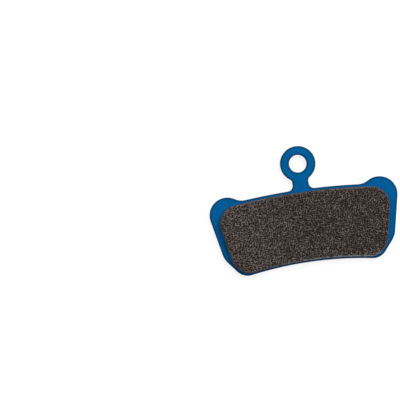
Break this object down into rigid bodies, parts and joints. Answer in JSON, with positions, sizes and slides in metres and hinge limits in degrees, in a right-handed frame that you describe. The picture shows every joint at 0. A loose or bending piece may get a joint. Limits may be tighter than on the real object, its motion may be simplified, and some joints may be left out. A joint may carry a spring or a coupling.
{
  "type": "bicycle disc brake pad",
  "caption": "Flat disc brake pad: a painted steel plate with a pin eyelet on a short neck, rounded ears and a concave lower edge, carrying a moulded friction lining that grips the rotor.",
  "frame": {"origin": "centre of the retaining-pin hole on the back face, which the pad lies on", "axes": "+X across the pad from ear to ear, +Y from the body towards the eyelet, +Z from the back face to the friction face"},
  "size_m": [0.045, 0.0289, 0.004],
  "materials": {
    "plate_paint": "satin blue paint on stamped steel",
    "friction_compound": "matte granular moulded compound"
  },
  "bodies": {
    "root": {"backing_plate": "plate_paint", "friction_lining": "friction_compound"}
  },
  "joints": []
}
